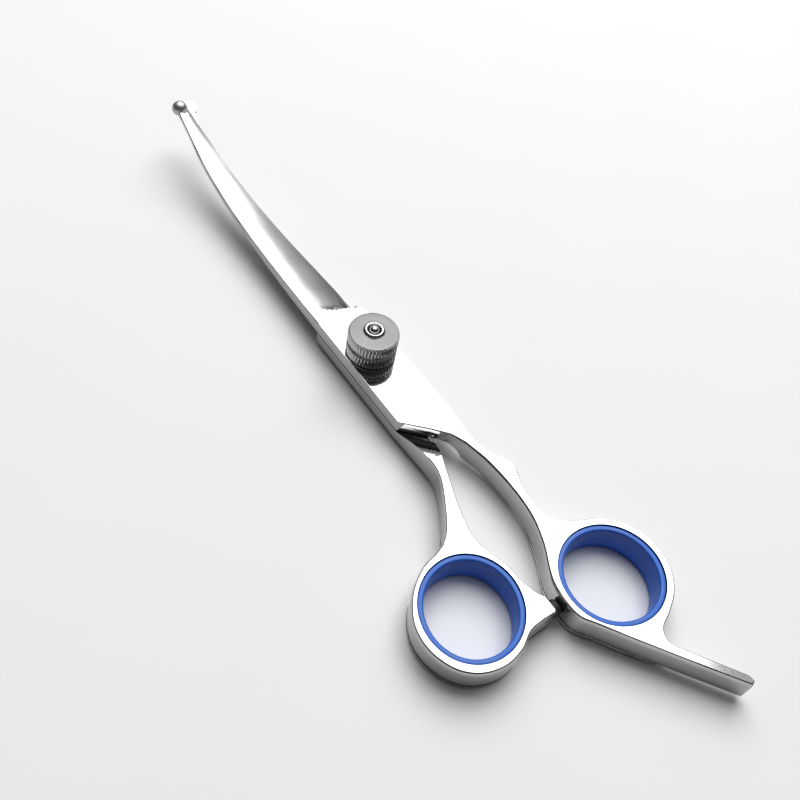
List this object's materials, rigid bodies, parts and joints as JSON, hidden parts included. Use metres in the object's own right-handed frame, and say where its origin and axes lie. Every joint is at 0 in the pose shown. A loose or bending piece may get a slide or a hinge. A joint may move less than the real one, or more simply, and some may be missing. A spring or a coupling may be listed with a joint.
{
  "type": "pet grooming shears",
  "caption": "Curved ball-tip pet nail and hair shears: two lapped steel members on a keyed pivot, soft ring inserts, stop bumper, finger rest and tension dial.",
  "frame": {"origin": "centre of the pivot screw's flat head, on the pivot axis, in the plane that the closed shears lie on", "axes": "+X along the closed blades towards the ball tips, +Y towards the thumb ring, +Z along the pivot axis towards the tension dial"},
  "size_m": [0.1986, 0.0553, 0.0174],
  "materials": {
    "polished_steel": "mirror-polished stainless steel",
    "machined_steel": "turned stainless steel",
    "dial_steel": "knurled rim, face spun bright",
    "blue_rubber": "smooth semi-gloss silicone, royal blue",
    "black_rubber": "matte black rubber",
    "bronze": "plain bearing bronze",
    "white_nylon": "slightly waxy low-friction plastic"
  },
  "bodies": {
    "thumb_member": {"thumb_blade": "polished_steel", "thumb_ring_insert": "blue_rubber", "stop_bumper": "black_rubber", "pivot_screw": "machined_steel", "glide_washer": "white_nylon", "lock_ring": "machined_steel"},
    "finger_member": {"finger_blade": "polished_steel", "finger_ring_insert": "blue_rubber", "pivot_bush": "bronze", "thrust_washer": "machined_steel"},
    "dial": {"tension_dial": "dial_steel", "spring_washer": "machined_steel"}
  },
  "joints": [
    {"name": "blade_pivot", "type": "hinge", "parent": "thumb_member", "child": "finger_member", "pos_m": [0, 0, 0.0038], "axis": [0, 0, 1], "range_deg": [0, 65]},
    {"name": "dial_turn", "type": "hinge", "parent": "thumb_member", "child": "dial", "pos_m": [0, 0, 0.011], "axis": [0, 0, 1], "range_deg": [-90, 180]}
  ]
}
